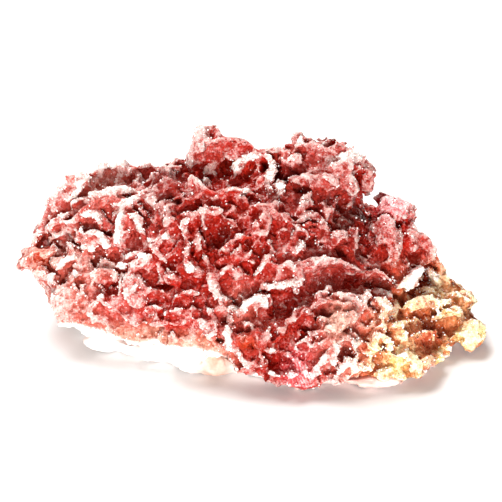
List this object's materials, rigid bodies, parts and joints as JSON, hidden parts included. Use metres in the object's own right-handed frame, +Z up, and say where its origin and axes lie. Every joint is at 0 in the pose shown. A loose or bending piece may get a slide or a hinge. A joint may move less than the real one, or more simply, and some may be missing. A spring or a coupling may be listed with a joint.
{
  "type": "mineral specimen",
  "caption": "Trona specimen: a mound of curved, frosted red crystal plates grown together on a flat white salt crust, with a yellow end.",
  "frame": {"origin": "on the floor, on the flat underside of the salt crust, near the middle of its outline", "axes": "+X along the specimen's length towards its yellow end, +Y away from the display side, +Z up"},
  "size_m": [0.1191, 0.0719, 0.0487],
  "materials": {
    "salt_crust": "matt, sugary white salt",
    "trona_plates": "translucent red crystal, frosted pale pink on the rims"
  },
  "bodies": {
    "root": {"salt_crust": "salt_crust", "trona_plates": "trona_plates"}
  },
  "joints": []
}
